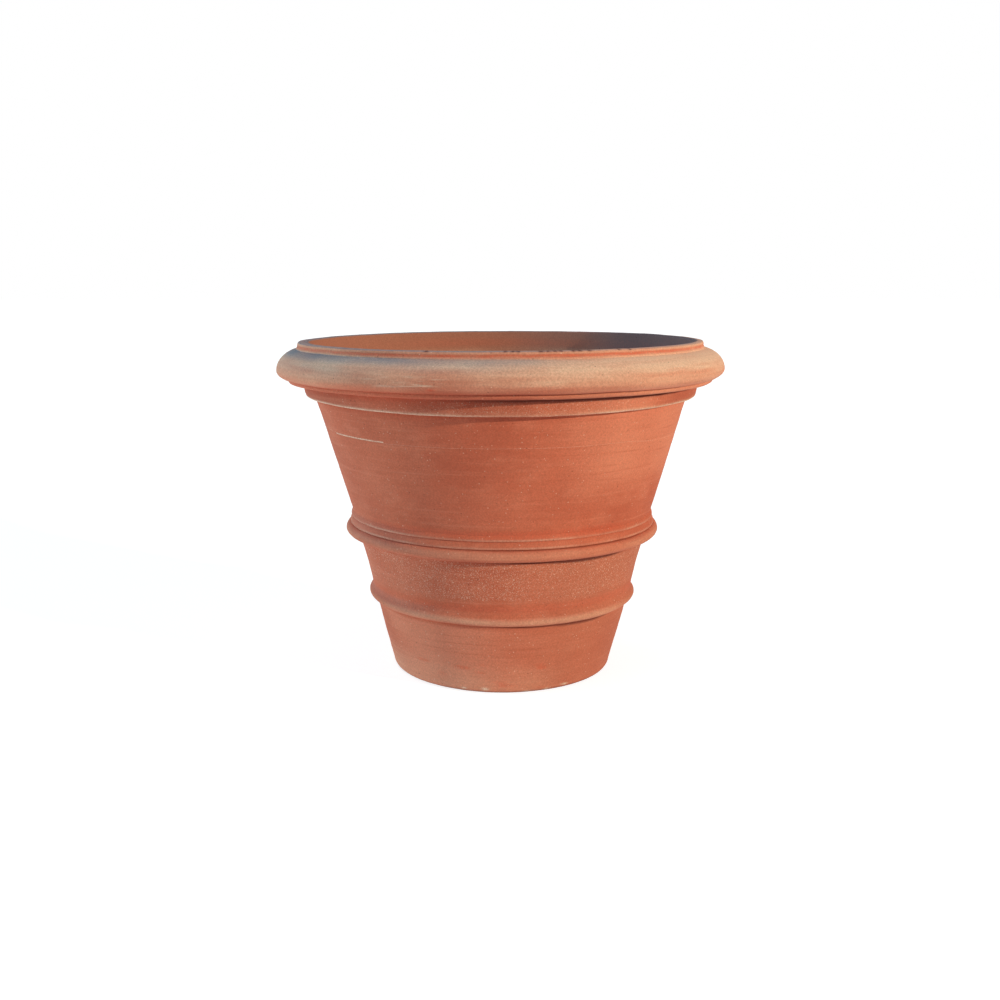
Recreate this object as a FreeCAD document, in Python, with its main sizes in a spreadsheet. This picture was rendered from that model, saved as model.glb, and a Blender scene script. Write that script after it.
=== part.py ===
import FreeCAD, Part
import math
import os
import Sketcher

# A rolled-rim terracotta planter, built up from the clay members that a potter joins leather-hard:
# a floor, three courses of wall, two bands laid over the joints of the courses, and the strips of
# the rim. Every member is a ring turned about Z. The origin is the centre of the foot, on the
# ground; +Z is up; lengths are millimetres.

DRIVING_SIZES = {
    # floor and foot
    "floor_thickness": 25.0,
    "drain_radius": 15.0,
    "foot_radius": 152.4,
    "foot_round": 8.5,
    "coil_leg": 14.0,
    "coil_hollow": 2.0,
    # inside face of the wall: two straight cones that meet at the knee
    "inner_foot_radius": 126.4,
    "knee_radius": 177.4,
    "knee_height": 192.0,
    "mouth_radius": 257.0,
    "rim_height": 450.2,
    # bevelled joints of the courses: heights of their inner and outer edges
    "low_joint_inner": 98.0,
    "low_joint_outer": 110.0,
    "mid_joint_outer": 206.0,
    "lip_joint_inner": 430.0,
    # outside of the courses, between the bands
    "lower_belly": 0.3,
    "middle_waist": 1.1,
    # lower band, from the crease under it to the end of its soft top
    "low_band_foot_radius": 174.9,
    "low_band_foot": 98.8,
    "low_band_radius": 184.8,
    "low_band_nose": 106.0,
    "low_band_turn_radius": 183.7,
    "low_band_turn": 109.4,
    "low_band_top_radius": 180.4,
    "low_band_top": 119.3,
    # middle band: a large bead, then two reeds
    "mid_band_foot_radius": 197.9,
    "mid_band_foot": 188.0,
    "mid_band_turn_radius": 212.6,
    "mid_band_turn": 191.9,
    "mid_band_radius": 215.1,
    "mid_band_nose": 196.2,
    "low_crease_radius": 206.4,
    "low_crease": 204.9,
    "low_reed_radius": 209.5,
    "low_reed": 207.6,
    "top_crease_radius": 206.3,
    "top_crease": 214.9,
    "top_reed_radius": 207.9,
    "top_reed": 216.9,
    "reed_round": 0.7,
    "mid_band_top_radius": 205.4,
    "mid_band_top": 222.7,
    # collar
    "collar_root_radius": 251.1,
    "collar_root": 379.0,
    "collar_round": 4.0,
    "collar_low_radius": 262.3,
    "collar_low": 376.8,
    "collar_top_radius": 265.7,
    "collar_top": 394.8,
    # rim bead
    "rim_bead_turn_radius": 281.0,
    "rim_bead_turn": 396.9,
    "rim_bead_radius": 284.8,
    "rim_bead_bulge": 1.7,
    # roll
    "roll_foot_radius": 285.6,
    "roll_foot": 402.9,
    "roll_under_radius": 297.1,
    "roll_under": 408.2,
    "rim_radius": 300.0,
    "rim_nose": 414.3,
    "roll_shoulder_radius": 293.6,
    "roll_shoulder": 429.9,
    "roll_top_radius": 273.1,
    "roll_top": 441.1,
    # lip
    "lip_outer_radius": 270.7,
    "lip_round": 2.0,
}
SHEET = "Sizes"


class Size:
    """A length with both its value and the sheet expression that it comes from."""

    def __init__(self, text, value):
        self.text = text
        self.value = value

    def combine(self, other, sign, value):
        return Size("(%s %s %s)" % (self.text, sign, other.text), value)

    def __add__(self, other):
        return self.combine(other, "+", self.value + other.value)

    def __sub__(self, other):
        return self.combine(other, "-", self.value - other.value)

    def __mul__(self, other):
        return self.combine(other, "*", self.value * other.value)

    def __truediv__(self, other):
        return self.combine(other, "/", self.value / other.value)


def size(alias):
    return Size("%s.%s" % (SHEET, alias), DRIVING_SIZES[alias])


def make_sheet(doc):
    sheet = doc.addObject("Spreadsheet::Sheet", SHEET)
    for row, (alias, value) in enumerate(DRIVING_SIZES.items(), start=1):
        sheet.set("A%d" % row, alias)
        sheet.set("B%d" % row, str(value))
        sheet.setAlias("B%d" % row, alias)
    doc.recompute()


# --- points of the pot's section, as (radius, height) --------------------------------------------

def point(radius_alias, height_alias):
    return size(radius_alias), size(height_alias)


def along(start, end, height):
    """The point of the straight line through start and end that lies at this height."""
    run, rise = end[0] - start[0], end[1] - start[1]
    return start[0] + (height - start[1]) * run / rise, height


ZERO = Size("0", 0.0)
TWO = Size("2", 2.0)
FOUR = Size("4", 4.0)

INNER_FOOT = (size("inner_foot_radius"), ZERO)
KNEE = point("knee_radius", "knee_height")
MOUTH = point("mouth_radius", "rim_height")
LOW_BAND_FOOT = point("low_band_foot_radius", "low_band_foot")
LOW_BAND_TOP = point("low_band_top_radius", "low_band_top")
MID_BAND_FOOT = point("mid_band_foot_radius", "mid_band_foot")
MID_BAND_TOP = point("mid_band_top_radius", "mid_band_top")
COLLAR_ROOT = point("collar_root_radius", "collar_root")
COLLAR_LOW = point("collar_low_radius", "collar_low")
COLLAR_TOP = point("collar_top_radius", "collar_top")
ROLL_FOOT = point("roll_foot_radius", "roll_foot")
ROLL_TOP = point("roll_top_radius", "roll_top")

FLOOR_EDGE = along(INNER_FOOT, KNEE, size("floor_thickness"))
LOW_JOINT_INNER = along(INNER_FOOT, KNEE, size("low_joint_inner"))
LOW_JOINT_OUTER = along(LOW_BAND_FOOT, LOW_BAND_TOP, size("low_joint_outer"))
MID_JOINT_OUTER = along(MID_BAND_FOOT, MID_BAND_TOP, size("mid_joint_outer"))
LIP_JOINT_INNER = along(KNEE, MOUTH, size("lip_joint_inner"))


def upper_face(height):
    """A point of the upper course's outside, which runs on straight behind the rim."""
    return along(MID_BAND_TOP, COLLAR_ROOT, height)


# --- edges of a section. Outlines run anticlockwise, so their outside is on the right ------------

LINE = "line"


def swell(start, end, rise, outward=True):
    """An arc from start to end that stands this far off its chord."""
    run, climb = end[0] - start[0], end[1] - start[1]
    radius = ((run * run + climb * climb) / FOUR + rise * rise) / (TWO * rise)
    return {"radius": radius, "rise": rise.value, "outward": outward}


def nose(height, rise):
    """An outward arc whose centre is at this height, so that it is upright there."""
    return {"centre_height": size(height), "rise": rise, "outward": True}


def sweep(joins, rise, outward=True):
    """An arc that runs on smoothly from the edge before it or into the edge after it."""
    return {"joins": joins, "rise": rise, "outward": outward}


def vector(corner):
    return FreeCAD.Vector(corner[0].value, corner[1].value, 0)


def edge_geometry(start, end, edge):
    """The edge's line or arc, with the numbers of its first and last point in the sketch."""
    first, last = vector(start), vector(end)
    if edge is LINE:
        return Part.LineSegment(first, last), (1, 2)
    chord = last - first
    right = FreeCAD.Vector(chord.y, -chord.x, 0).normalize()
    if edge["outward"]:
        return Part.Arc(first, (first + last) / 2 + right * edge["rise"], last), (1, 2)
    return Part.Arc(last, (first + last) / 2 - right * edge["rise"], first), (2, 1)


def constrain(sketch, kind, where, expression):
    """Add one dimension to the sketch and bind it to the sheet."""
    index = sketch.addConstraint(Sketcher.Constraint(kind, *where, expression.value))
    sketch.setExpression("Constraints[%d]" % index, expression.text)


def place_corner(sketch, geometry, end, corner):
    """Fix one end of an edge at its radius and height, or on the axis that it touches."""
    for kind, axis, length in (("DistanceX", -2, corner[0]), ("DistanceY", -1, corner[1])):
        if length.value:
            constrain(sketch, kind, (-1, 1, geometry, end), length)
        else:
            sketch.addConstraint(Sketcher.Constraint("PointOnObject", geometry, end, axis))


def join_edges(sketch, before, after):
    """Join the last point of one edge to the first of the next, smoothly where either says so."""
    smooth = "after" in before["joins"] or "before" in after["joins"]
    kind = "Tangent" if smooth else "Coincident"
    place = (before["index"], before["ends"][1], after["index"], after["ends"][0])
    sketch.addConstraint(Sketcher.Constraint(kind, *place))


def origin_plane(body, role):
    return next(plane for plane in body.Origin.OriginFeatures if plane.Role == role)


def new_sketch(body, name, role):
    sketch = body.newObject("Sketcher::SketchObject", name)
    sketch.AttachmentSupport = [(origin_plane(body, role), "")]
    sketch.MapMode = "FlatFace"
    return sketch


def draw_section(body, outline):
    """Sketch a closed outline, given as corners, each with the edge that leaves it."""
    sketch = new_sketch(body, body.Name + "_section", "XZ_Plane")
    drawn = []
    for number, (corner, edge) in enumerate(outline):
        following = outline[(number + 1) % len(outline)][0]
        geometry, ends = edge_geometry(corner, following, edge)
        index = sketch.addGeometry(geometry)
        joins = "" if edge is LINE else edge.get("joins", "")
        drawn.append({"index": index, "ends": ends, "joins": joins})
    for number, (corner, edge) in enumerate(outline):
        this = drawn[number]
        join_edges(sketch, this, drawn[(number + 1) % len(drawn)])
        place_corner(sketch, this["index"], this["ends"][0], corner)
        if edge is LINE:
            continue
        if "radius" in edge:
            constrain(sketch, "Radius", (this["index"],), edge["radius"])
        if "centre_height" in edge:
            constrain(sketch, "DistanceY", (-1, 1, this["index"], 3), edge["centre_height"])
    return sketch


def turned_piece(doc, label, outline):
    """A ring or disc: its section turned once round Z."""
    body = doc.addObject("PartDesign::Body", label)
    body.Label = label
    sketch = draw_section(body, outline)
    turned = body.newObject("PartDesign::Revolution", label + "_turned")
    turned.Profile = sketch
    turned.ReferenceAxis = (sketch, ["V_Axis"])
    turned.Angle = 360
    sketch.Visibility = False
    doc.recompute()
    return body


# --- the floor -----------------------------------------------------------------------------------

def make_base_slab(doc):
    """The floor: a disc that sits inside the foot on its bevelled edge, with a drain hole."""
    axis_foot, axis_top = (ZERO, ZERO), (ZERO, size("floor_thickness"))
    slab = turned_piece(doc, "base_slab", [
        (axis_foot, LINE), (INNER_FOOT, LINE), (FLOOR_EDGE, LINE), (axis_top, LINE)])
    solid_volume = slab.Shape.Volume
    circle = new_sketch(slab, "drain_circle", "XY_Plane")
    radius = size("drain_radius")
    circle.addGeometry(Part.Circle(FreeCAD.Vector(0, 0, 0), FreeCAD.Vector(0, 0, 1), radius.value))
    circle.addConstraint(Sketcher.Constraint("Coincident", 0, 3, -1, 1))
    constrain(circle, "Radius", (0,), radius)
    hole = slab.newObject("PartDesign::Pocket", "drain_hole")
    hole.Profile = circle
    hole.Type = "ThroughAll"
    hole.Reversed = True
    circle.Visibility = False
    doc.recompute()
    bored = math.pi * radius.value ** 2 * size("floor_thickness").value
    if abs(solid_volume - slab.Shape.Volume - bored) > 0.001 * bored:
        raise RuntimeError("the drain hole doesn't go through the floor")


def make_floor_coil(doc):
    """The coil pressed into the inside corner of floor and wall, hollowed by a thumb."""
    leg = size("coil_leg")
    on_floor = (FLOOR_EDGE[0] - leg, FLOOR_EDGE[1])
    on_wall = along(INNER_FOOT, KNEE, FLOOR_EDGE[1] + leg)
    hollow = swell(on_wall, on_floor, size("coil_hollow"), outward=False)
    turned_piece(doc, "floor_coil", [(on_floor, LINE), (FLOOR_EDGE, LINE), (on_wall, hollow)])


# --- the courses of the wall ---------------------------------------------------------------------

def make_lower_wall(doc):
    """From the foot to the bevelled joint behind the lower band, a little bellied."""
    round_start = (size("foot_radius") - size("foot_round"), ZERO)
    round_end = (size("foot_radius"), size("foot_round"))
    foot_round = sweep("before", 0.29 * size("foot_round").value)
    turned_piece(doc, "lower_wall", [
        (INNER_FOOT, LINE),
        (round_start, foot_round),
        (round_end, swell(round_end, LOW_BAND_FOOT, size("lower_belly"))),
        (LOW_BAND_FOOT, LINE),
        (LOW_JOINT_OUTER, LINE),
        (LOW_JOINT_INNER, LINE)])


def make_middle_wall(doc):
    """Between the joints behind the two bands, a little waisted."""
    waist = swell(LOW_BAND_TOP, MID_BAND_FOOT, size("middle_waist"), outward=False)
    turned_piece(doc, "middle_wall", [
        (LOW_JOINT_INNER, LINE),
        (LOW_JOINT_OUTER, LINE),
        (LOW_BAND_TOP, waist),
        (MID_BAND_FOOT, LINE),
        (MID_JOINT_OUTER, LINE),
        (KNEE, LINE)])


def make_upper_wall(doc):
    """The straight flaring course, from the middle band up to the lip's joint behind the roll."""
    turned_piece(doc, "upper_wall", [
        (KNEE, LINE),
        (MID_JOINT_OUTER, LINE),
        (MID_BAND_TOP, LINE),
        (upper_face(ROLL_TOP[1]), LINE),
        (LIP_JOINT_INNER, LINE)])


# --- the bands -----------------------------------------------------------------------------------

def make_lower_band(doc):
    """A round cord whose top runs softly up into the wall."""
    nose_point = point("low_band_radius", "low_band_nose")
    turn = point("low_band_turn_radius", "low_band_turn")
    turned_piece(doc, "lower_band", [
        (LOW_BAND_FOOT, nose("low_band_nose", 2.5)),
        (nose_point, nose("low_band_nose", 0.3)),
        (turn, sweep("before", 0.8, outward=False)),
        (LOW_BAND_TOP, LINE)])


def make_middle_band(doc):
    """A large bead with two small reeds above it, each fullest near its lower edge."""
    turn = point("mid_band_turn_radius", "mid_band_turn")
    nose_point = point("mid_band_radius", "mid_band_nose")
    low_crease = point("low_crease_radius", "low_crease")
    low_reed = point("low_reed_radius", "low_reed")
    top_crease = point("top_crease_radius", "top_crease")
    top_reed = point("top_reed_radius", "top_reed")
    reed_round = size("reed_round")
    turned_piece(doc, "middle_band", [
        (MID_BAND_FOOT, sweep("after", 1.5)),
        (turn, nose("mid_band_nose", 0.6)),
        (nose_point, nose("mid_band_nose", 3.0)),
        (low_crease, swell(low_crease, low_reed, reed_round)),
        (low_reed, swell(low_reed, top_crease, reed_round)),
        (top_crease, swell(top_crease, top_reed, reed_round)),
        (top_reed, swell(top_reed, MID_BAND_TOP, reed_round)),
        (MID_BAND_TOP, LINE)])


# --- the rim -------------------------------------------------------------------------------------

def make_collar(doc):
    """The flat strip under the rim, with a softened lower arris."""
    corner_round = size("collar_round")
    face_end = along(COLLAR_LOW, COLLAR_TOP, COLLAR_LOW[1] + corner_round)
    under_end = (COLLAR_LOW[0] - corner_round, COLLAR_LOW[1])
    arris = sweep("before", 0.3 * corner_round.value)
    turned_piece(doc, "collar", [
        (COLLAR_ROOT, LINE),
        (under_end, arris),
        (face_end, LINE),
        (COLLAR_TOP, LINE),
        (upper_face(COLLAR_TOP[1]), LINE)])


def make_rim_bead(doc):
    """The rounded strip between the collar and the roll."""
    turn = point("rim_bead_turn_radius", "rim_bead_turn")
    edge = point("rim_bead_radius", "roll_foot")
    turned_piece(doc, "rim_bead", [
        (upper_face(COLLAR_TOP[1]), LINE),
        (COLLAR_TOP, LINE),
        (turn, swell(turn, edge, size("rim_bead_bulge"))),
        (edge, LINE),
        (upper_face(ROLL_FOOT[1]), LINE)])


def make_rim_roll(doc):
    """The big roll: flat underneath, full at the nose and drawn up to the lip's foot."""
    under = point("roll_under_radius", "roll_under")
    nose_point = point("rim_radius", "rim_nose")
    shoulder = point("roll_shoulder_radius", "roll_shoulder")
    turned_piece(doc, "rim_roll", [
        (upper_face(ROLL_FOOT[1]), LINE),
        (ROLL_FOOT, sweep("after", 0.7)),
        (under, nose("rim_nose", 0.8)),
        (nose_point, nose("rim_nose", 1.7)),
        (shoulder, sweep("before", 1.6)),
        (ROLL_TOP, LINE),
        (upper_face(ROLL_TOP[1]), LINE)])


def make_lip(doc):
    """The wall's top edge: it sits on the upper course and the roll, both arrises softened."""
    soft = size("lip_round")
    outer = point("lip_outer_radius", "rim_height")
    side = along(ROLL_TOP, outer, outer[1] - soft)
    top_out = (outer[0] - soft, outer[1])
    top_in = (MOUTH[0] + soft, MOUTH[1])
    inside = along(KNEE, MOUTH, MOUTH[1] - soft)
    turned_piece(doc, "lip", [
        (LIP_JOINT_INNER, LINE),
        (upper_face(ROLL_TOP[1]), LINE),
        (ROLL_TOP, LINE),
        (side, sweep("after", 0.3 * soft.value)),
        (top_out, LINE),
        (top_in, sweep("before", 0.3 * soft.value)),
        (inside, LINE)])


MAKERS = (make_base_slab, make_floor_coil, make_lower_wall, make_middle_wall, make_upper_wall,
          make_lower_band, make_middle_band, make_collar, make_rim_bead, make_rim_roll, make_lip)


def check_document(doc):
    for thing in doc.Objects:
        if {"Invalid", "Error"} & set(thing.State):
            raise RuntimeError("%s failed: %s" % (thing.Name, thing.State))
    for body in pieces(doc):
        if body.Shape.isNull() or not body.Shape.isValid() or len(body.Shape.Solids) != 1:
            raise RuntimeError("%s isn't one valid solid" % body.Label)


def pieces(doc):
    return [thing for thing in doc.Objects if thing.TypeId == "PartDesign::Body"]


def main():
    doc = FreeCAD.newDocument("terracotta_pot")
    make_sheet(doc)
    for make in MAKERS:
        make(doc)
    doc.recompute()
    check_document(doc)
    os.makedirs("parts", exist_ok=True)
    for body in pieces(doc):
        body.Shape.exportStep("parts/%s.step" % body.Label)
        box = body.Shape.optimalBoundingBox()
        print("%-12s volume %8.1f cm3, radius %6.1f, z %6.1f to %6.1f"
              % (body.Label, body.Shape.Volume / 1000, box.XMax, box.ZMin, box.ZMax))


main()
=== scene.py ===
import math

import bpy
import numpy as np
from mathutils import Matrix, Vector


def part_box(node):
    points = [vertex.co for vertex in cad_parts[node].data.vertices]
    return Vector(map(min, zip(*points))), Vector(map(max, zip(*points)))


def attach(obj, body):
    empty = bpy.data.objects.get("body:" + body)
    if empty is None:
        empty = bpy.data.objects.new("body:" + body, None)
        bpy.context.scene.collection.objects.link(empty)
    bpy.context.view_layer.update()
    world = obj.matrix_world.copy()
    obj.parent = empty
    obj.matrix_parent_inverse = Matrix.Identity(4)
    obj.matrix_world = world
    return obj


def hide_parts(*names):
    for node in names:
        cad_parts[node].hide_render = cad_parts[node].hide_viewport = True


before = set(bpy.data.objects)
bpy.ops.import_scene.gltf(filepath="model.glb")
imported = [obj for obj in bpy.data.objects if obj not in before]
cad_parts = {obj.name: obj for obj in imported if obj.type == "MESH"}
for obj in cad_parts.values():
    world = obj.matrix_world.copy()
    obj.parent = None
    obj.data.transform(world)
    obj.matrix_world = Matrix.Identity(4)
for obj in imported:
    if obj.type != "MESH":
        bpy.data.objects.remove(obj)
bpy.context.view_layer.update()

# A handmade terracotta planter. The CAD nodes are turned rings; each is replaced here by a fine
# mesh of the same clay member, with the unevenness of hand work, under one terracotta material.
# Sections are (radius, height) in millimetres; the scene is in metres.

MM = 0.001
FIRED = 0.993        # the visual pot is this much of the CAD size, which leaves room for its wobble
AROUND = 720         # faces round the pot
FINE = 1.4           # spacing of section points on mouldings, mm
COARSE = 4.0         # the same on plain walls
HIDDEN = 12.0        # the same on joint faces inside the clay
ARRIS_ANGLE = 38     # faces that meet at more than this many degrees keep a sharp edge


# --- sizes from the frame -------------------------------------------------------------------------

def span(node):
    """A node's lowest height, highest height and outer radius, in mm."""
    low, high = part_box(node)
    return low.z / MM, high.z / MM, high.x / MM


FLOOR_TOP = span("base_slab")[1]
COIL_TOP = span("floor_coil")[1]
LOW_BAND_Z, LOW_BAND_TOP, LOW_BAND_RADIUS = span("lower_band")
MID_BAND_Z, MID_BAND_TOP, MID_BAND_RADIUS = span("middle_band")
COLLAR_Z, COLLAR_TOP, COLLAR_RADIUS = span("collar")
BEAD_Z, BEAD_TOP = span("rim_bead")[:2]
ROLL_Z, ROLL_TOP, RIM_RADIUS = span("rim_roll")
LIP_Z, RIM_TOP, LIP_RADIUS = span("lip")

# corners of the section
INNER_FOOT = (126.4, 0.0)
KNEE = (177.4, 192.0)
MOUTH = (LIP_RADIUS - 16.1, RIM_TOP)
FOOT_RADIUS = 152.4
FOOT_ROUND = 8.5
DRAIN_RADIUS = 15.0
LOW_CREASE = (174.9, LOW_BAND_Z + 0.4)
LOW_FADE = (180.4, LOW_BAND_TOP)
MID_CREASE = (197.9, MID_BAND_Z)
MID_FADE = (205.4, MID_BAND_TOP)
COLLAR_ROOT = (251.1, COLLAR_Z + 2.4)
COLLAR_LOW = (262.3, COLLAR_Z + 0.2)
COLLAR_HIGH = (COLLAR_RADIUS, COLLAR_TOP)
BEAD_TURN = (281.0, BEAD_Z + 2.1)
BEAD_EDGE = (284.8, BEAD_TOP)
ROLL_FOOT = (285.6, ROLL_Z)
LIP_FOOT = (LIP_RADIUS, ROLL_TOP)
LIP_OUTER = (LIP_RADIUS - 2.4, RIM_TOP)


def along(start, end, height):
    """The point at this height on the straight line through start and end."""
    part = (height - start[1]) / (end[1] - start[1])
    return start[0] + part * (end[0] - start[0]), height


def inner_face(height):
    return along(INNER_FOOT, KNEE, height) if height <= KNEE[1] else along(KNEE, MOUTH, height)


def upper_face(height):
    return along(MID_FADE, COLLAR_ROOT, height)


# bevelled joints between the wall courses, from the outer end behind a band to the inner face
LOW_JOINT_OUTER_Z = 110.0
LOW_JOINT_INNER_Z = 98.0
MID_JOINT_OUTER_Z = 206.0
LOW_JOINT = (along(LOW_CREASE, LOW_FADE, LOW_JOINT_OUTER_Z), inner_face(LOW_JOINT_INNER_Z))
MID_JOINT = (along(MID_CREASE, MID_FADE, MID_JOINT_OUTER_Z), KNEE)
LIP_JOINT = (upper_face(ROLL_TOP), inner_face(LIP_Z))


# --- section runs: points from a start up to, not including, the end ------------------------------

def straight(start, end, step, swell=0.0):
    """A line, or a shallow curve that stands swell off it to the right of its direction."""
    (r0, z0), (r1, z1) = start, end
    length = math.hypot(r1 - r0, z1 - z0)
    t = np.linspace(0, 1, max(2, math.ceil(length / step) + 1))[:-1]
    off = 4 * swell * t * (1 - t)
    return np.column_stack([r0 + (r1 - r0) * t + off * (z1 - z0) / length,
                            z0 + (z1 - z0) * t - off * (r1 - r0) / length])


def curve(centre, wide, high, first, last, step=FINE):
    """Part of an ellipse, between two angles in degrees, anticlockwise from outward."""
    sweep = math.radians(abs(last - first))
    count = max(4, math.ceil(sweep * max(wide, high) / step) + 1)
    t = np.radians(np.linspace(first, last, count))[:-1]
    return np.column_stack([centre[0] + wide * np.cos(t), centre[1] + high * np.sin(t)])


# --- the pieces' sections, anticlockwise ----------------------------------------------------------

def base_slab():
    hole, edge = DRAIN_RADIUS, 2.5
    floor_edge = inner_face(FLOOR_TOP)
    return [curve((hole + edge, edge), -edge, -edge, 0, 90, 0.8),
            straight((hole + edge, 0), INNER_FOOT, COARSE),
            straight(INNER_FOOT, floor_edge, HIDDEN),
            straight(floor_edge, (hole + edge, FLOOR_TOP), COARSE),
            curve((hole + edge, FLOOR_TOP - edge), -edge, edge, 90, 0, 0.8),
            straight((hole, FLOOR_TOP - edge), (hole, edge), 2.0)]


def floor_coil():
    corner = inner_face(FLOOR_TOP)
    on_floor = (corner[0] - 14.0, FLOOR_TOP)
    on_wall = inner_face(COIL_TOP)
    return [straight(on_floor, corner, HIDDEN), straight(corner, on_wall, HIDDEN),
            straight(on_wall, on_floor, FINE, -2.6)]


def lower_wall():
    round_centre = (FOOT_RADIUS - FOOT_ROUND, FOOT_ROUND)
    round_end = (FOOT_RADIUS, FOOT_ROUND)
    outer, inner = LOW_JOINT
    return [straight(INNER_FOOT, (round_centre[0], 0), COARSE),
            curve(round_centre, FOOT_ROUND, FOOT_ROUND, -90, 0, 0.7),
            straight(round_end, LOW_CREASE, 2.0, 0.3),
            straight(LOW_CREASE, outer, HIDDEN),
            straight(outer, inner, HIDDEN),
            straight(inner, inner_face(FLOOR_TOP), COARSE),
            straight(inner_face(FLOOR_TOP), INNER_FOOT, HIDDEN)]


def middle_wall():
    (low_outer, low_inner), (high_outer, high_inner) = LOW_JOINT, MID_JOINT
    return [straight(low_inner, low_outer, HIDDEN), straight(low_outer, LOW_FADE, HIDDEN),
            straight(LOW_FADE, MID_CREASE, FINE, -1.1),
            straight(MID_CREASE, high_outer, HIDDEN), straight(high_outer, high_inner, HIDDEN),
            straight(high_inner, low_inner, COARSE)]


def upper_wall():
    (low_outer, low_inner), (high_outer, high_inner) = MID_JOINT, LIP_JOINT
    return [straight(low_inner, low_outer, HIDDEN), straight(low_outer, MID_FADE, HIDDEN),
            straight(MID_FADE, COLLAR_ROOT, COARSE), straight(COLLAR_ROOT, high_outer, HIDDEN),
            straight(high_outer, high_inner, HIDDEN), straight(high_inner, low_inner, COARSE)]


def lower_band():
    nose_height = LOW_BAND_Z + 7.6
    reach = LOW_BAND_RADIUS - LOW_CREASE[0]
    turn = (LOW_BAND_RADIUS - 1.5, nose_height + 3.6)
    return [curve((LOW_CREASE[0], nose_height), reach, nose_height - LOW_CREASE[1], -90, 0),
            curve((LOW_BAND_RADIUS - 5, nose_height), 5, 5, 0, 46),
            straight(turn, LOW_FADE, FINE, -1.1),
            straight(LOW_FADE, LOW_CREASE, HIDDEN)]


def middle_band():
    """A large bead, then two reeds that are fullest near their lower edges."""
    nose_height = MID_BAND_Z + 8.2
    low_crease, low_reed = (207.4, MID_BAND_Z + 16.8), (209.4, MID_BAND_Z + 19.2)
    top_crease, top_reed = (206.3, MID_BAND_Z + 26.8), (207.9, MID_BAND_Z + 28.8)
    under = MID_BAND_RADIUS - MID_CREASE[0]
    over = MID_BAND_RADIUS - low_crease[0]
    return [curve((MID_CREASE[0], nose_height), under, nose_height - MID_BAND_Z, -90, 0),
            curve((low_crease[0], nose_height), over, low_crease[1] - nose_height, 0, 90),
            straight(low_crease, low_reed, 0.6, 0.7), straight(low_reed, top_crease, 0.9, 0.6),
            straight(top_crease, top_reed, 0.6, 0.5), straight(top_reed, MID_FADE, 0.9, 0.4),
            straight(MID_FADE, MID_CREASE, HIDDEN)]


def collar():
    soft = 3.0
    face_start = along(COLLAR_LOW, COLLAR_HIGH, COLLAR_Z + soft)
    return [straight(COLLAR_ROOT, (COLLAR_LOW[0] - soft, COLLAR_Z), FINE),
            curve((face_start[0] - soft, COLLAR_Z + soft), soft, soft, -90, 0, 0.8),
            straight(face_start, COLLAR_HIGH, FINE),
            straight(COLLAR_HIGH, upper_face(COLLAR_TOP), HIDDEN),
            straight(upper_face(COLLAR_TOP), COLLAR_ROOT, HIDDEN)]


def rim_bead():
    inner_low, inner_high = upper_face(BEAD_Z), upper_face(BEAD_TOP)
    return [straight(inner_low, COLLAR_HIGH, HIDDEN), straight(COLLAR_HIGH, BEAD_TURN, COARSE),
            straight(BEAD_TURN, BEAD_EDGE, 0.7, 1.7),
            straight(BEAD_EDGE, inner_high, HIDDEN),
            straight(inner_high, inner_low, HIDDEN)]


def rim_roll():
    """Tucked in underneath, full at the nose, drawn up to the lip's foot."""
    wide, over, under = 36.3, 27.7, 15.3
    centre = (RIM_RADIUS - wide, ROLL_Z + 11.4)
    under_start = math.degrees(math.acos((ROLL_FOOT[0] + 6.0 - centre[0]) / wide))
    over_end = math.degrees(math.acos((LIP_FOOT[0] - centre[0]) / wide))
    inner_low, inner_high = upper_face(ROLL_Z), LIP_JOINT[0]
    tuck = (centre[0] + wide * math.cos(math.radians(under_start)),
            centre[1] - under * math.sin(math.radians(under_start)))
    return [straight(inner_low, ROLL_FOOT, HIDDEN), straight(ROLL_FOOT, tuck, 0.8, 0.6),
            curve(centre, wide, under, -under_start, 0, FINE),
            curve(centre, wide, over, 0, over_end, FINE),
            straight(LIP_FOOT, inner_high, HIDDEN), straight(inner_high, inner_low, HIDDEN)]


def lip():
    """A low square fillet; a shallow groove runs round its outer face."""
    soft, groove = 2.0, 4.2
    outer, inner = LIP_JOINT
    side = along(LIP_FOOT, LIP_OUTER, RIM_TOP - soft)
    groove_low = along(LIP_FOOT, LIP_OUTER, ROLL_TOP + 1.6)
    groove_high = along(LIP_FOOT, LIP_OUTER, ROLL_TOP + 1.6 + groove)
    inside = inner_face(RIM_TOP - soft)
    return [straight(inner, outer, HIDDEN), straight(outer, LIP_FOOT, HIDDEN),
            straight(LIP_FOOT, groove_low, 0.8), straight(groove_low, groove_high, 0.5, -0.55),
            straight(groove_high, side, 0.8),
            curve((side[0] - soft, RIM_TOP - soft), soft, soft, 0, 90, 0.8),
            straight((side[0] - soft, RIM_TOP), (inside[0] + soft, RIM_TOP), FINE, 0.4),
            curve((inside[0] + soft, RIM_TOP - soft), soft, soft, 90, 180, 0.8),
            straight(inside, inner, FINE)]


SECTIONS = (base_slab, floor_coil, lower_wall, middle_wall, upper_wall, lower_band, middle_band,
            collar, rim_bead, rim_roll, lip)


# --- unevenness of hand work ----------------------------------------------------------------------

LATTICE = np.random.default_rng(17).uniform(-1, 1, (4, 32, 32, 32))


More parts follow.
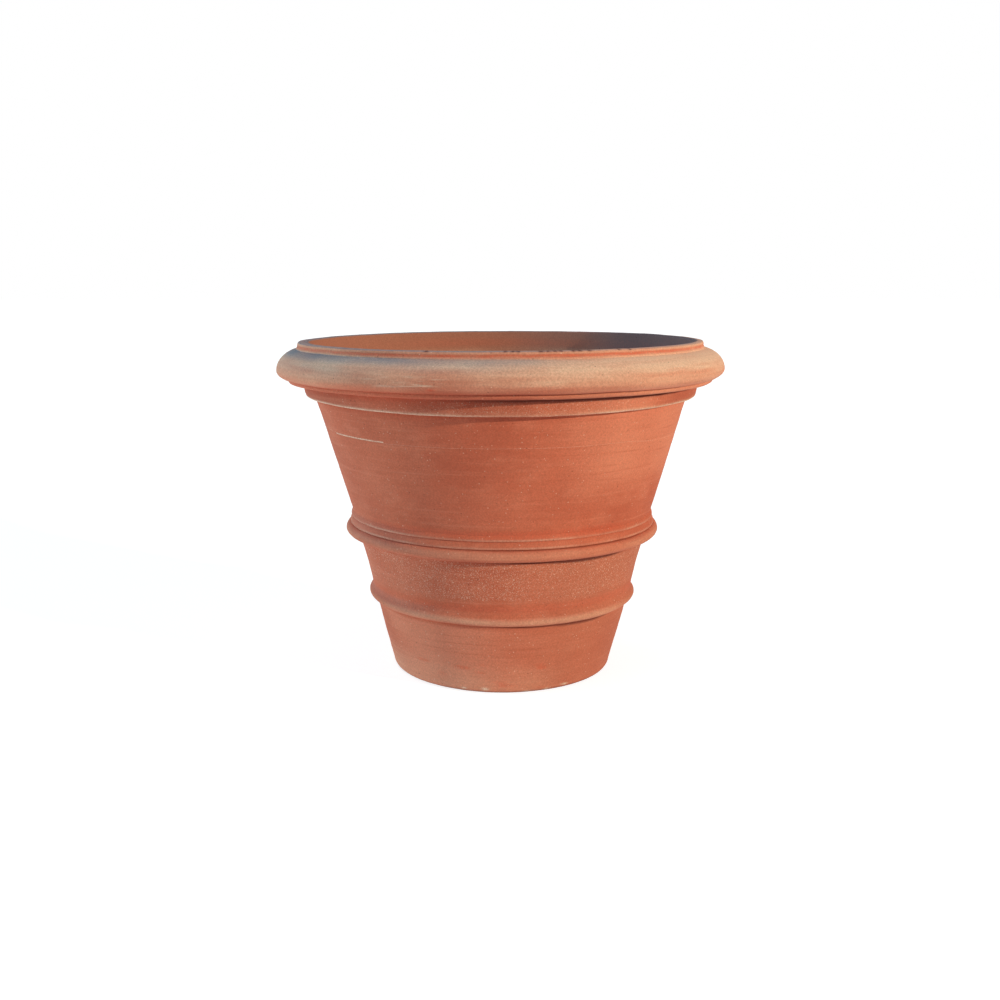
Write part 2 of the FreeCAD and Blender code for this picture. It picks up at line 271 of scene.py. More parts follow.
def noise(points, size, layer=0):
    """Smooth value noise from -1 to 1 with features of this size, or sizes along x, y and z."""
    p = points / np.asarray(size, float) + 1000.0
    cell = np.floor(p).astype(int)
    f = p - cell
    f = f * f * (3 - 2 * f)
    total = np.zeros(len(points))
    for dx in (0, 1):
        for dy in (0, 1):
            for dz in (0, 1):
                weight = (np.where(dx, f[:, 0], 1 - f[:, 0]) * np.where(dy, f[:, 1], 1 - f[:, 1])
                          * np.where(dz, f[:, 2], 1 - f[:, 2]))
                total += weight * LATTICE[layer, (cell[:, 0] + dx) % 32, (cell[:, 1] + dy) % 32,
                                          (cell[:, 2] + dz) % 32]
    return total


def smooth(x, low, high):
    """0 below low, 1 above high, an easy step between."""
    t = np.clip((x - low) / (high - low), 0, 1)
    return t * t * (3 - 2 * t)


def window(x, low, high, soft):
    """1 between low and high, 0 outside them, with edges this soft to either side."""
    return smooth(x, low - soft, low + soft) * (1 - smooth(x, high - soft, high + soft))


# the pot's axis wanders a little on its way up, and its rings aren't quite level
LEVELS = (0.0, 50.0, 106.0, 196.0, 300.0, 400.0, 416.0, 450.0)
AXIS_DRIFT = (-0.2, 0.2, 0.7, 0.6, -0.1, -1.4, -1.6, -1.6)
SLOPE = (-0.0070, -0.0070, -0.0080, -0.0025, 0.0020, 0.0022, 0.0055, 0.0038)
COLLAR_SAG = 1.8     # the collar hangs this much lower at front and back than at the sides
COLLAR_CANT = 0.9    # and sits this much higher at the left


def handmade(p):
    """Moves points (mm) of the perfect pot to where the potter's hands left them."""
    x, y, z = p.T
    radius = np.maximum(np.hypot(x, y), 1e-6)
    out_x, out_y = x / radius, y / radius
    angle = np.arctan2(y, x)
    up = smooth(z, 2, 40)
    oval = 0.35 * np.cos(2 * angle + 0.6) + 0.3 * np.cos(3 * angle + 2.1)
    swell = oval * up * radius / 300
    swell = swell + 0.45 * noise(p, 85, 0) + 0.22 * noise(p, 27, 1) + 0.08 * noise(p, 9, 2)
    swell = swell + 0.16 * noise(p, (260, 260, 6.5), 3)
    lift = 0.45 * noise(p, 70, 2) + 0.2 * noise(p, 22, 3) + 0.07 * noise(p, 8, 0)
    lift = lift + np.interp(z, LEVELS, SLOPE) * x
    on_collar = window(z, COLLAR_Z - 3, COLLAR_Z + 5, 4) * smooth(radius, 255, 261)
    lift = lift - COLLAR_SAG * np.cos(2 * angle + math.pi) * on_collar
    lift = lift + COLLAR_CANT * smooth(-x, 60, 240) * on_collar
    dx = np.interp(z, LEVELS, AXIS_DRIFT)
    moved = p.copy()
    moved[:, 0] += out_x * swell + dx * up
    moved[:, 1] += out_y * swell
    moved[:, 2] += lift * smooth(z, -30, 20)
    moved[:, 2] = np.maximum(moved[:, 2], 0)
    return moved


# --- meshes ---------------------------------------------------------------------------------------

def turn(name, runs):
    """A closed ring: the section's points turned round Z, then made uneven."""
    section = np.vstack(runs)
    rows = len(section)
    angle = np.arange(AROUND) * 2 * math.pi / AROUND + math.pi / 2
    r, z = section[:, 0], section[:, 1]
    nominal = np.stack([np.outer(np.cos(angle), r), np.outer(np.sin(angle), r),
                        np.broadcast_to(z, (AROUND, rows))], axis=2).reshape(-1, 3)
    points = handmade(nominal) * FIRED * MM
    here = np.arange(AROUND * rows).reshape(AROUND, rows)
    beside = np.roll(here, -1, axis=0)
    faces = np.stack([here, beside, np.roll(beside, -1, axis=1), np.roll(here, -1, axis=1)],
                     axis=2).reshape(-1, 4)
    mesh = bpy.data.meshes.new(name)
    mesh.from_pydata(points.tolist(), [], faces.tolist())
    mesh.polygons.foreach_set("use_smooth", np.ones(len(faces), bool))
    mesh.set_sharp_from_angle(angle=math.radians(ARRIS_ANGLE))
    mesh.update()
    piece = bpy.data.objects.new(name, mesh)
    bpy.context.scene.collection.objects.link(piece)
    paint(mesh, nominal)
    return piece


# small marks: side in degrees from -Y towards +X, height, and half sizes in degrees and mm
LIP_NICKS = ((-18.4, 0.6), (1.2, 0.4), (3.0, 0.5), (4.3, 0.4), (9.8, 0.6), (11.6, 0.4), (13.3, 0.5),
             (14.8, 0.4), (18.0, 0.5), (19.7, 0.6), (22.2, 0.5), (30.6, 0.4), (33.9, 0.4))
FOOT_CHIPS = ((-18.9, 5.5, 1.2, 1.2), (-8.2, 6.5, 1.6, 1.9), (12.3, 2.5, 2.0, 1.2),
              (22.8, 3.5, 1.0, 1.2), (33.0, 6.0, 1.8, 1.3))
ROLL_SCAR = (-15.4, 408.5, 0.9, 1.4)
SCRATCH = ((-62.5, 337.5), (-36.5, 336.5))

DUSK_RISE = (290, 400)   # heights between which the shade inside the mouth comes in, mm


def side_of(p):
    """How far round each point is, in degrees: 0 faces -Y, positive towards +X."""
    return np.degrees(np.arctan2(p[:, 0], -p[:, 1]))


def mark(p, side, height, wide, tall):
    """1 at the middle of a small mark, falling softly to 0 round it."""
    return np.exp(-((side_of(p) - side) / wide) ** 2 - ((p[:, 2] - height) / tall) ** 2)


# In the functions below an amount runs from 0 (none) to 1 (full cover), heights are in mm and sides
# in degrees, as above. Most patches are windows of side times windows of height, with soft edges.


def bloom_on(p, radius, side):
    """Lime bloom: strong on the roll, light on bands, collar and foot, patchy everywhere."""
    z = p[:, 2]
    right = smooth(side, 8, 42)
    patchy = 0.2 * noise(p, 60, 1) + 0.17 * noise(p, (40, 40, 8), 2) + 0.06 * noise(p, 8, 3)
    on_roll = smooth(radius, COLLAR_HIGH[0] - 3, COLLAR_HIGH[0] + 3)
    on_roll = on_roll * smooth(z, ROLL_Z - 1, ROLL_Z + 3) * (1 - smooth(z, ROLL_TOP - 0.5, ROLL_TOP + 1))
    roll = 0.25 + 0.15 * smooth(z, ROLL_Z + 1, ROLL_Z + 13) + 0.4 * smooth(z, ROLL_Z + 11, ROLL_Z + 34)
    roll = roll + right * (0.14 + 0.14 * smooth(z, ROLL_Z + 12, ROLL_Z + 26))
    roll = roll - 0.28 * window(side, -20, -7, 6) * window(z, ROLL_Z + 14, ROLL_Z + 27, 4)
    roll = roll - 0.16 * window(side, -20, -8, 5) * (1 - window(z, ROLL_Z + 14, ROLL_Z + 24, 4))
    roll = roll + 0.08 * window(side, -48, -28, 8) * window(z, ROLL_Z + 10, ROLL_Z + 30, 5)
    roll = roll - 0.16 * window(side, -110, -50, 10) * smooth(z, ROLL_Z + 14, ROLL_Z + 26)
    roll = roll + 0.14 * mark(p, 10.5, ROLL_Z + 14, 4.5, 3.6) - 0.16 * mark(p, 12, ROLL_Z + 6, 7, 4)
    roll = roll + 0.12 * window(side, -62, -40, 10) * (1 - smooth(z, ROLL_Z + 6, ROLL_Z + 12))
    smear = window(side, 36, 62, 6) * window(z, ROLL_Z + 14, ROLL_Z + 27, 4)
    roll = roll - 0.3 * smear * smooth(noise(p, (90, 90, 5), 1), -0.3, 0.3)
    on_bead = window(z, BEAD_Z, ROLL_Z, 1) * smooth(radius, BEAD_TURN[0] - 3, BEAD_TURN[0])
    on_collar = window(z, COLLAR_Z, BEAD_Z + 1, 1) * smooth(radius, COLLAR_LOW[0] - 6, COLLAR_LOW[0] - 2)
    collar_dust = 0.02 + 0.1 * (1 - smooth(z, COLLAR_Z, COLLAR_Z + 9))
    lip_face = smooth(z, ROLL_TOP - 0.5, ROLL_TOP + 1) * (0.4 + 0.16 * right)
    lip_face = lip_face * (1 - 0.5 * window(z, ROLL_TOP + 2.4, ROLL_TOP + 6.0, 1.0))
    middle = 0.16 * window(z, MID_BAND_Z + 3, MID_BAND_Z + 15, 4)
    low = 0.32 * window(z, LOW_BAND_Z + 2, LOW_BAND_Z + 11, 3) * (0.4 + 0.6 * window(side, -50, 58, 14))
    foot = 0.2 * (1 - smooth(z, 8, 60)) * (1 - smooth(side, 12, 38))
    total = 0.02 + on_roll * roll + on_bead * (0.08 + 0.14 * right) + on_collar * collar_dust
    total = total + lip_face + middle + low + foot
    return total * (1 + patchy) + 0.04 * patchy


def tone_and_painted_light_of(p, outside, side):
    """Paler clay above 0.5, deeper below it; outside, partly the clay's own tone and partly painted light
    and shade by side.
    """
    z = p[:, 2]
    low = 1 - smooth(z, LOW_BAND_Z - 8, LOW_BAND_Z)
    middle = window(z, LOW_BAND_TOP, MID_BAND_Z, 4)
    upper = smooth(z, MID_BAND_TOP + 10, MID_BAND_TOP + 90)
    collar_face = window(z, COLLAR_Z, BEAD_Z, 2)
    # painted light and shade by side: the upper wall paler at the sunlit right, the lower walls and the
    # collar's face paler or deeper in stretches
    shift = low * (0.34 * window(side, -60, 0, 22) - 0.3 * smooth(side, 26, 60))
    shift = shift + middle * (0.06 - 0.3 * window(side, -28, 10, 12) - 0.12 * smooth(side, 10, 30))
    shift = shift - 0.4 * collar_face * (1 - window(side, -38, -24, 6) - window(side, 4, 46, 8))
    shift = shift + upper * (0.34 * smooth(side, 5, 40) - 0.34 * window(side, -24, 6, 9))
    inside_bands = 0.22 * np.sin(z / 3.4) + 0.2 * noise(p, (200, 200, 5), 2)
    return 0.5 + outside * shift + (1 - outside) * inside_bands + 0.07 * noise(p, 45, 0)


def dusk(p):
    """Where the inside is darkest: high up at the right, which the mouth shades."""
    return smooth(p[:, 0], 112, 208) * smooth(p[:, 2], *DUSK_RISE)


def rings(z, heights, thick):
    return sum(np.exp(-((z - height) / thick) ** 2) for height in heights)


def cool_shade_on(p, side, outside):
    """Painted cool shade, grey: in the hollow under the lip, on its top, on the bands at the left, inside
    at the right.
    """
    z = p[:, 2]
    below_lip = smooth(z, ROLL_TOP - 10, ROLL_TOP - 0.5) * (1 - smooth(z, ROLL_TOP + 0.2, ROLL_TOP + 1))
    roll = below_lip * (0.76 * window(side, -120, -26, 16) + 0.36 * window(side, -26, 14, 12))
    roll = roll + 0.17 * window(z, ROLL_Z + 19, ROLL_TOP, 9) * window(side, -95, -34, 14)
    roll = roll + 0.18 * window(z, ROLL_TOP - 13, ROLL_TOP, 4) * window(side, -30, 6, 10)
    banded = window(z, MID_BAND_Z + 10, MID_BAND_TOP, 3) + 1.3 * window(z, LOW_BAND_Z + 10, LOW_BAND_TOP, 3)
    bands = 0.08 * window(side, -100, -30, 18) * banded
    top = smooth(z, RIM_TOP - 1.2, RIM_TOP - 0.2) * (0.7 - 0.5 * smooth(side, -10, 35))
    shaded = 0.5 * dusk(p) + 0.12 * smooth(p[:, 0], -28, 98) * smooth(z, *DUSK_RISE)
    return outside * (roll + bands) * (1 + 0.25 * noise(p, 30, 3)) + top + (1 - outside) * shaded


def edge_on(p, radius, side, outside):
    """Pale arrises: the collar's lower edge, the reeds' crests and chips on the foot."""
    z = p[:, 2]
    from_arris = (radius - COLLAR_LOW[0] + 0.9) ** 2 + (z - COLLAR_Z - 0.9) ** 2
    collar_edge = np.exp(-from_arris / 3.4) * (0.85 - 0.6 * window(side, -10, 26, 9))
    on_reeds = outside * window(z, MID_BAND_Z + 17.2, MID_BAND_TOP, 0.5)
    crests = on_reeds * rings(z, (MID_BAND_Z + 19.0, MID_BAND_Z + 28.6), 1.2)
    chips = sum(mark(p, *chip) for chip in FOOT_CHIPS) * outside
    worn = 0.6 + 0.8 * smooth(noise(p, 24, 0), -0.4, 0.5)
    return collar_edge * (1 + 0.3 * noise(p, 12, 1)) + 0.2 * crests * worn + 0.8 * chips


def ruddy_on(p, radius, side, outside):
    """Redder clay, where wiping left no bloom."""
    z = p[:, 2]
    on_lip = smooth(radius, LIP_RADIUS - 5, LIP_RADIUS - 3) * window(z, ROLL_TOP + 2.4, ROLL_TOP + 5.8, 1.1)
    lip_line = (0.42 + 0.34 * noise(p, (16, 16, 3), 1)) * on_lip
    clean = 0.14 * window(z, BEAD_Z - 5, ROLL_Z + 1, 2) * (1 - smooth(side, -10, 20))
    clean = clean + 0.22 * window(z, LOW_BAND_TOP - 2, LOW_BAND_TOP + 9, 4)
    clean = clean + 0.28 * window(z, MID_BAND_TOP - 4, MID_BAND_TOP + 5, 2) * window(side, -50, 48, 12)
    smears = smooth(noise(p, (26, 26, 6), 2), 0.2, 0.6) * window(z, 4, 44, 8) * window(side, -48, 36, 10)
    inside = 0.14 * (1 - outside) * window(z, RIM_TOP - 22, RIM_TOP - 11, 4) * smooth(p[:, 0], -200, -60)
    return lip_line + 0.8 * mark(p, *ROLL_SCAR) + outside * (clean + 0.42 * smears) + inside


def dark_on(p, radius, side, outside):
    """Nicks on the lip; painted shadow in the creases and under the bands and the bead; painted shade on
    the collar's face, along the foot's bottom edge and inside at the right.
    """
    z = p[:, 2]
    nicks = sum(mark(p, place, RIM_TOP, wide, 1.0) for place, wide in LIP_NICKS)
    nicks = 0.95 * nicks * smooth(radius + 2.5 * noise(p, 4, 1), LIP_RADIUS - 11, LIP_RADIUS - 7)
    # painted cast shadows just under the bands and the bead, deepest at the front and right
    shadow_depth = 1.6 + 2.0 * smooth(side, -8, 14) + 1.7 * window(side, 22, 50, 9)
    under = window(z, MID_BAND_Z - shadow_depth, MID_BAND_Z + 0.4, 0.9)
    under = under + window(z, LOW_BAND_Z - 0.68 * shadow_depth, LOW_BAND_Z + 0.4, 0.8)
    under = under + rings(z, (COLLAR_TOP - 0.6,), 2.4) * smooth(radius, 262, 263)
    crease_shadows = 0.84 * under + 0.3 * rings(z, (ROLL_Z, MID_BAND_Z + 16.8), 0.9)
    crease_shadows = crease_shadows * smooth(side, -24, 10) * (1 - smooth(side, 44, 60))
    # painted shade along the bottom edge of the foot, where it meets the floor
    foot = 0.72 * (1 - smooth(z, 0.8, 5.0))
    # painted shade on the collar's face, outside its two sunlit stretches
    collar_face = window(z, COLLAR_Z + 2, BEAD_Z, 2) * smooth(radius, 258, 260)
    collar_face = collar_face * (1 - window(side, -44, -24, 8) - window(side, 4, 50, 8))
    return nicks + outside * (crease_shadows + foot + 0.13 * collar_face) + 0.52 * (1 - outside) * dusk(p)


def dust_on(p, radius, side, outside):
    """Where fine lime specks stand out: on the middle wall, in loose clusters, and on the collar."""
    z = p[:, 2]
    dust = window(z, LOW_BAND_TOP + 14, MID_BAND_Z - 1, 6) * (0.5 + 0.4 * window(side, -30, 40, 14))
    dust = dust + 0.5 * np.exp(-((z - MID_BAND_Z + 10) / 8) ** 2)
    dust = dust * (0.6 + 0.7 * smooth(noise(p, (50, 50, 16), 1), -0.5, 0.5))
    collar_face = window(z, COLLAR_Z - 2, COLLAR_TOP, 3)
    collar_face = collar_face * smooth(radius, COLLAR_LOW[0] - 8, COLLAR_LOW[0] - 4)
    return outside * (dust + 0.1 + 0.5 * collar_face * window(side, -20, 38, 14))


def wipes_on(p, side):
    """Where a hand or sponge left fine pale streaks on the roll."""
    left = window(side, -31, -13, 4) * window(p[:, 2], ROLL_Z + 8, ROLL_Z + 21, 3)
    middle = 0.8 * mark(p, 10.5, ROLL_Z + 12, 5, 4) + 0.5 * mark(p, -2, ROLL_Z + 9, 5, 3)
    right = 0.5 * mark(p, 48, ROLL_Z + 24, 9, 6)
    return left + middle + right


def scratch_on(p, side):
    """A thin scratch: 0.5 along its line, changing with the distance from it."""
    passed = (side - SCRATCH[0][0]) / (SCRATCH[1][0] - SCRATCH[0][0])
    height = SCRATCH[0][1] + passed * (SCRATCH[1][1] - SCRATCH[0][1])
    beyond = 1 - window(passed, 0, 1, 0.02)
    return 0.5 + (p[:, 2] - height) / 40 * (1 + 60 * beyond)


def paint(mesh, p):
    """Stores how much each point has of every thing that colours the clay; the back, apart from
    the single marks, is like the front."""
    z = p[:, 2]
    radius = np.hypot(p[:, 0], p[:, 1])
    round_from_front = side_of(p)
    behind = np.abs(round_from_front) > 90
    side = np.where(behind, np.sign(round_from_front) * 180 - round_from_front, round_from_front)
    inner = np.interp(z, (0, KNEE[1], RIM_TOP), (INNER_FOOT[0], KNEE[0], MOUTH[0]))
    outside = smooth(radius - inner, 4, 8)
    # painted shade: the lower walls duller towards the right
    painted_shade_dull = 0.32 * smooth(side, -4, 34) * (1 - smooth(z, MID_BAND_Z - 6, MID_BAND_Z))
    inside_bloom = 0.16 * window(z, RIM_TOP - 40, RIM_TOP - 26, 4) * (1 + noise(p, (50, 50, 5), 1))
    values = {"bloom": bloom_on(p, radius, side) * outside + inside_bloom * (1 - outside),
              "tone_and_painted_light": tone_and_painted_light_of(p, outside, side),
              "cool_shade": cool_shade_on(p, side, outside),
              "edge": edge_on(p, radius, side, outside),
              "ruddy": ruddy_on(p, radius, side, outside),
              "dark": dark_on(p, radius, side, outside),
              "dust": dust_on(p, radius, side, outside),
              "scratch": scratch_on(p, round_from_front) * outside,
              "wipes": wipes_on(p, side) * outside,
              "dull_and_shade": 1 - outside * (1 - painted_shade_dull)}
    for name, value in values.items():
        layer = mesh.attributes.new(name, "FLOAT", "POINT")
        layer.data.foreach_set("value", np.clip(value, 0, 1).astype(np.float32))


# --- material -------------------------------------------------------------------------------------

def srgb(red, green, blue):
    """A display colour, 0 to 255, as the linear colour that shaders take."""
    def linear(c):
        c /= 255
        return c / 12.92 if c <= 0.04045 else ((c + 0.055) / 1.055) ** 2.4
    return linear(red), linear(green), linear(blue), 1.0


class Graph:
    """A material's nodes, made with plain calls."""

    def __init__(self, tree):
        self.tree = tree

    def node(self, kind, inputs=None, **settings):
        made = self.tree.nodes.new(kind)
        for key, value in settings.items():
            setattr(made, key, value)
        for key, value in (inputs or {}).items():
            if isinstance(value, bpy.types.NodeSocket):
                self.tree.links.new(value, made.inputs[key])
            else:
                made.inputs[key].default_value = value
        return made

    def math(self, operation, first, second=0.0, clamp=False):
        made = self.node("ShaderNodeMath", {0: first, 1: second}, operation=operation)
        made.use_clamp = clamp
        return made.outputs[0]

    def stretch(self, vector, scale):
        made = self.node("ShaderNodeMapping", {"Vector": vector, "Scale": scale})
        return made.outputs[0]

    def noise(self, vector, scale, detail=3.0, roughness=0.55):
        made = self.node("ShaderNodeTexNoise", {"Vector": vector, "Scale": scale,
                                                "Detail": detail, "Roughness": roughness})
        return made.outputs[0]

    def cells(self, vector, scale):
        return self.node("ShaderNodeTexVoronoi", {"Vector": vector, "Scale": scale})

    def ramp(self, value, low, high, start=0.0, end=1.0):
        made = self.node("ShaderNodeMapRange", {0: value, 1: low, 2: high, 3: start, 4: end},
                         interpolation_type="SMOOTHSTEP")
        return made.outputs[0]

    def blend(self, amount, first, second, kind="MIX"):
        made = self.node("ShaderNodeMix", data_type="RGBA", blend_type=kind)
        for socket, value in ((made.inputs[0], amount), (made.inputs[6], first),
                              (made.inputs[7], second)):
            if isinstance(value, bpy.types.NodeSocket):
                self.tree.links.new(value, socket)
            else:
                socket.default_value = value
        return made.outputs[2]

    def attribute(self, name):
        return self.node("ShaderNodeAttribute", attribute_name=name).outputs["Fac"]


CLAY = srgb(217, 115, 84)
CLAY_DEEP = srgb(196, 96, 68)
CLAY_PALE = srgb(233, 140, 108)
CLAY_RED = srgb(224, 92, 60)
CLAY_DULL = srgb(176, 110, 86)
BLOOM = srgb(247, 196, 162)
COOL_SHADE = srgb(129, 134, 143)
LIME = srgb(250, 224, 196)
NICK_AND_SHADE = srgb(78, 30, 26)
GRIT = srgb(104, 52, 42)


def terracotta():
    """Matte unglazed clay: mottled red, fine lime specks, wiping streaks, bloom where it dried."""
    material = bpy.data.materials.new("terracotta")
    material.use_nodes = True
    g = Graph(material.node_tree)
    shader = material.node_tree.nodes["Principled BSDF"]
    place = g.node("ShaderNodeTexCoord").outputs["Object"]
    mottle = g.noise(place, 6, 5, 0.6)
    blotch = g.noise(g.stretch(place, (1, 1, 2.0)), 21, 4, 0.6)
    streak = g.noise(g.stretch(place, (7, 7, 210)), 1, 4, 0.6)
    grain = g.noise(place, 420, 4, 0.7)
    sand = g.noise(place, 700, 2, 0.6)

    tone_and_painted_light = g.attribute("tone_and_painted_light")
    colour = g.blend(g.ramp(mottle, 0.22, 0.74), CLAY_DEEP, CLAY)
    # the clay's own tone, and painted light and shade by side on the outside
    colour = g.blend(g.ramp(tone_and_painted_light, 0.5, 1.0), colour, CLAY_PALE)
    colour = g.blend(g.ramp(tone_and_painted_light, 0.5, 0.0), colour, CLAY_DEEP)
    colour = g.blend(g.ramp(blotch, 0.47, 0.75, 0, 0.3), colour, CLAY_PALE)
    colour = g.blend(g.ramp(streak, 0.52, 0.8, 0, 0.38), colour, CLAY_PALE)
    colour = g.blend(g.ramp(streak, 0.48, 0.25, 0, 0.38), colour, CLAY_DEEP)
    # dull clay inside, and painted shade on the lower walls at the right
    colour = g.blend(g.attribute("dull_and_shade"), colour, CLAY_DULL)

    rubbed = g.math("MULTIPLY", g.attribute("bloom"), g.ramp(streak, 0.25, 0.72, 0.8, 1.15))
    rubbed = g.math("MULTIPLY", rubbed, g.ramp(grain, 0.3, 0.68, 0.9, 1.07), True)
    colour = g.blend(rubbed, colour, BLOOM)
    reddened = g.math("MULTIPLY", g.attribute("ruddy"), g.ramp(grain, 0.3, 0.6, 0.65, 1.0))
    colour = g.blend(reddened, colour, CLAY_RED)
    cool_shaded = g.math("MULTIPLY", g.attribute("cool_shade"), g.ramp(grain, 0.25, 0.7, 1.08, 0.8), True)
    # painted cool shade, grey-blue, where only sky light falls
    colour = g.blend(cool_shaded, colour, COOL_SHADE)

    wipe_lines = g.noise(g.stretch(place, (28, 28, 380)), 1, 3, 0.6)
    wiped = g.math("MULTIPLY", g.attribute("wipes"), g.ramp(wipe_lines, 0.5, 0.68, 0, 0.4))
    colour = g.blend(wiped, colour, LIME)

    powder = g.ramp(g.noise(place, 1000, 2, 0.7), 0.54, 0.66, 0, 0.42)
    colour = g.blend(g.math("MULTIPLY", powder, g.attribute("dust")), colour, LIME)
    specks = g.cells(place, 600)
    chance, spread, _ = g.node("ShaderNodeSeparateColor", {0: specks.outputs["Color"]}).outputs
    wanted = g.math("SUBTRACT", 1.0, g.math("MULTIPLY", g.attribute("dust"), 0.2))
    reach = g.math("MULTIPLY", g.math("ADD", spread, 0.4), 0.36)
    inside = g.math("LESS_THAN", specks.outputs["Distance"], reach)
    lime = g.math("MULTIPLY", g.math("GREATER_THAN", chance, wanted), inside)
    colour = g.blend(g.math("MULTIPLY", lime, g.ramp(sand, 0.4, 0.6, 0.24, 0.46)), colour, LIME)
    edged = g.math("MULTIPLY", g.attribute("edge"), g.ramp(grain, 0.3, 0.62, 0.6, 1.05), True)
    colour = g.blend(edged, colour, LIME)
    off_line = g.math("ABSOLUTE", g.math("SUBTRACT", g.attribute("scratch"), 0.5))
    scratched = g.math("MULTIPLY", g.ramp(off_line, 0.028, 0.006), g.ramp(grain, 0.3, 0.6, 0.25, 0.8))
    colour = g.blend(scratched, colour, LIME)
    grit = g.cells(g.stretch(place, (1.3, 1.1, 1.2)), 190)
    picked = g.node("ShaderNodeSeparateColor", {0: grit.outputs["Color"]}).outputs[1]
    picked = g.math("GREATER_THAN", picked, 0.97)
    dark = g.math("MULTIPLY", g.ramp(grit.outputs["Distance"], 0.26, 0.1), picked)
    colour = g.blend(g.math("MULTIPLY", dark, 0.5), colour, GRIT)
    # nicks, and painted shade and shadows: under the bands, on the collar, along the foot, inside
    colour = g.blend(g.attribute("dark"), colour, NICK_AND_SHADE)
    shade = g.math("ADD", g.ramp(grain, 0.3, 0.7, 0.9, 1.09), g.ramp(sand, 0.3, 0.7, -0.05, 0.05))
    shade = g.node("ShaderNodeCombineColor", {0: shade, 1: shade, 2: shade}).outputs[0]
    colour = g.blend(1.0, colour, shade, "MULTIPLY")

    relief = g.math("ADD", g.math("MULTIPLY", grain, 0.5), g.math("MULTIPLY", streak, 0.6))
    relief = g.math("ADD", relief, g.math("MULTIPLY", lime, 0.12))
    relief = g.math("SUBTRACT", relief, g.math("MULTIPLY", dark, 0.5))
    bump = g.node("ShaderNodeBump", {"Strength": 0.35, "Distance": 0.0006, "Height": relief})
    links = material.node_tree.links
    links.new(colour, shader.inputs["Base Color"])
    links.new(bump.outputs[0], shader.inputs["Normal"])
    links.new(g.ramp(grain, 0.2, 0.8, 0.82, 0.97), shader.inputs["Roughness"])
    shader.inputs["Specular IOR Level"].default_value = 0.15
    return material


# --- the pot --------------------------------------------------------------------------------------

def make_pot():
    clay = terracotta()
    for section in SECTIONS:
        node = section.__name__
        piece = turn(node + "_clay", section())
        piece.data.materials.append(clay)
        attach(piece, "root")
        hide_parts(node)


# --- floor, light and camera ----------------------------------------------------------------------

FLOOR_REACH = 30.0
FLOOR_GAP = 0.0002   # keeps the floor's face off the pot's underside
FLOOR_COLOUR = (0.5, 0.48, 0.47, 1)
FLOOR_GLOW = 0.8
PANEL_LIGHT = (1.6, 2.7, 3.1, 1)
BACK_LIGHT = (0.5, 0.5, 0.5, 1)
CEILING_LIGHT = (0.32, 0.36, 0.44, 1)
BOUNCE_LEFT = (0.58, 0.51, 0.50, 1)
BOUNCE_RIGHT = (0.20, 0.10, 0.07, 1)
UNDER_LIGHT = (1.1, 1.06, 1.02, 1)
SUN_COLOUR = (1.0, 0.97, 0.78)
SUN_SIDE = 60        # degrees from -Y towards +X
SUN_HEIGHT = 15.7    # degrees above level
SUN_SIZE = 2         # degrees across
SUN_STRENGTH = 2.35


def make_floor():
    """A plain pale floor; it takes the pot's shadow but sends no light back up to it."""
    corners = [(-FLOOR_REACH, -FLOOR_REACH, -FLOOR_GAP), (FLOOR_REACH, -FLOOR_REACH, -FLOOR_GAP),
               (FLOOR_REACH, FLOOR_REACH, -FLOOR_GAP), (-FLOOR_REACH, FLOOR_REACH, -FLOOR_GAP)]
    mesh = bpy.data.meshes.new("floor")
    mesh.from_pydata(corners, [], [(0, 1, 2, 3)])
    floor = bpy.data.objects.new("floor", mesh)
    bpy.context.scene.collection.objects.link(floor)
    material = bpy.data.materials.new("floor_white")
    material.use_nodes = True
    shader = material.node_tree.nodes["Principled BSDF"]
    shader.inputs["Base Color"].default_value = FLOOR_COLOUR
    shader.inputs["Roughness"].default_value = 1.0
    shader.inputs["Specular IOR Level"].default_value = 0.0
    shader.inputs["Emission Color"].default_value = (1, 1, 1, 1)
    shader.inputs["Emission Strength"].default_value = FLOOR_GLOW
    mesh.materials.append(material)
    floor.visible_diffuse = False


def direction(side, height):
    """A unit vector: side in degrees from -Y towards +X, height in degrees above level."""
    level = math.cos(math.radians(height))
    return Vector((level * math.sin(math.radians(side)), -level * math.cos(math.radians(side)),
                   math.sin(math.radians(height))))


def make_sun():
    """One low warm light from the right; only its direction matters, not where it stands."""
    towards = direction(SUN_SIDE, SUN_HEIGHT)
    data = bpy.data.lights.new("key", "SUN")
    data.energy = SUN_STRENGTH
    data.color = SUN_COLOUR
    data.angle = math.radians(SUN_SIZE)
    light = bpy.data.objects.new("key", data)
    light.location = towards * 3.0
    light.rotation_euler = towards.to_track_quat("Z", "Y").to_euler()
    bpy.context.scene.collection.objects.link(light)


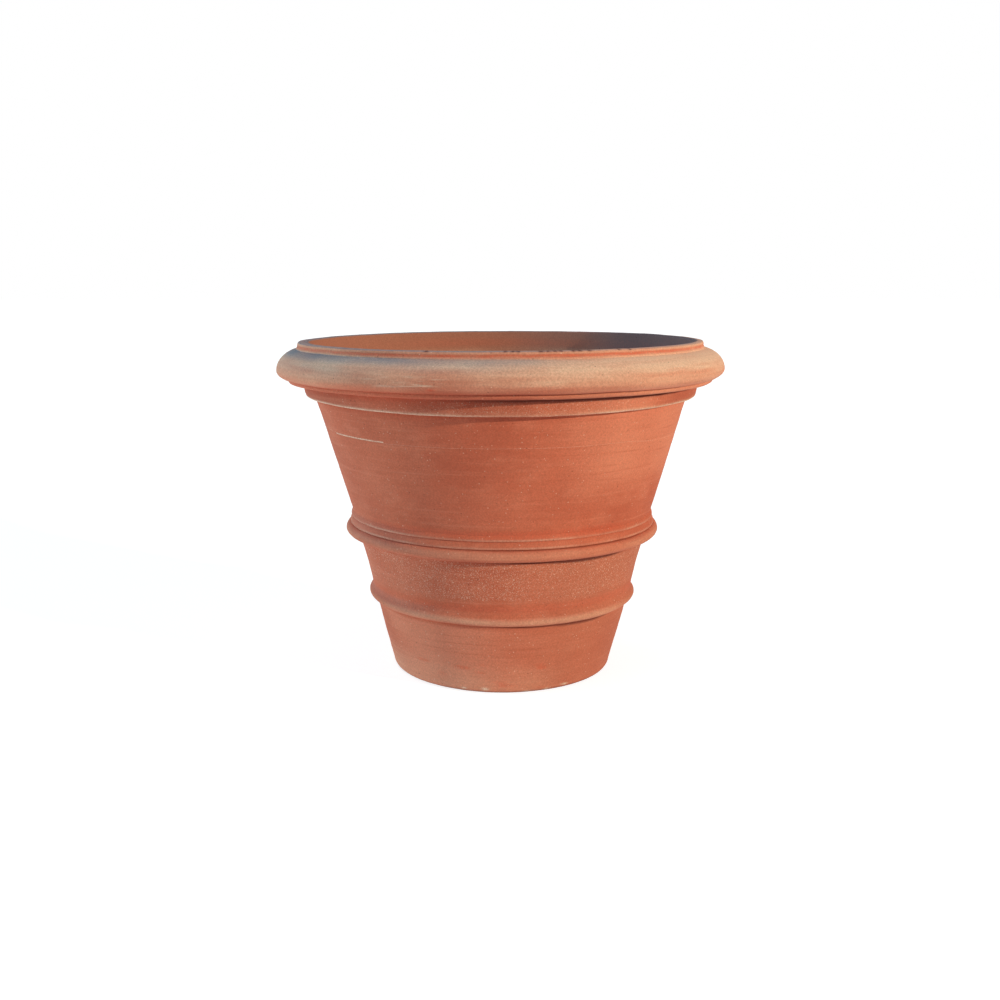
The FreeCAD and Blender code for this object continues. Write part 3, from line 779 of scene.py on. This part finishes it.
def make_world():
    """Studio surround: a cool panel at the left, a pale floor's bounce, a dim cool ceiling."""
    world = bpy.data.worlds.new("studio")
    bpy.context.scene.world = world
    world.use_nodes = True
    tree = world.node_tree
    tree.nodes.clear()
    g = Graph(tree)
    place = g.node("ShaderNodeTexCoord").outputs["Generated"]
    x, y, height = g.node("ShaderNodeSeparateXYZ", {0: place}).outputs
    level = g.math("SQRT", g.math("ADD", g.math("MULTIPLY", x, x), g.math("MULTIPLY", y, y)))
    leftness = g.math("DIVIDE", g.math("MULTIPLY", x, -1.0), level)
    panel = g.blend(g.ramp(leftness, 0.55, 0.85), (0, 0, 0, 1), PANEL_LIGHT)
    behind = g.blend(g.ramp(g.math("DIVIDE", y, level), 0.3, 0.9), panel, BACK_LIGHT, "ADD")
    light = g.blend(g.ramp(height, 0.35, 0.6), behind, CEILING_LIGHT)
    bounce = g.blend(g.ramp(x, -0.6, 0.7), BOUNCE_LEFT, BOUNCE_RIGHT)
    bounce = g.blend(g.ramp(height, -0.7, -0.9), bounce, UNDER_LIGHT)
    light = g.blend(g.ramp(height, -0.02, -0.15), light, bounce)
    seen = g.node("ShaderNodeLightPath").outputs["Is Camera Ray"]
    colour = g.blend(seen, light, (1, 1, 1, 1))
    shade = g.node("ShaderNodeBackground", {"Color": colour, "Strength": 1.0})
    g.node("ShaderNodeOutputWorld", {"Surface": shade.outputs[0]})


AIM_HEIGHT = 0.22839 * FIRED
CAMERA_HEIGHT = 0.52900 * FIRED
CAMERA_DISTANCE = 1.56720 * FIRED
CAMERA_SIDE = -0.0022
LENS = 41.2


def make_camera():
    data = bpy.data.cameras.new("camera")
    data.lens = LENS
    data.sensor_width = 36.0
    camera = bpy.data.objects.new("camera", data)
    camera.location = (CAMERA_SIDE, -CAMERA_DISTANCE, CAMERA_HEIGHT)
    aim = Vector((CAMERA_SIDE, 0, AIM_HEIGHT))
    camera.rotation_euler = (camera.location - aim).to_track_quat("Z", "Y").to_euler()
    bpy.context.scene.collection.objects.link(camera)
    bpy.context.scene.camera = camera


make_pot()
make_floor()
make_world()
make_sun()
make_camera()
bpy.context.scene.view_settings.view_transform = "Standard"

bpy.context.view_layer.update()
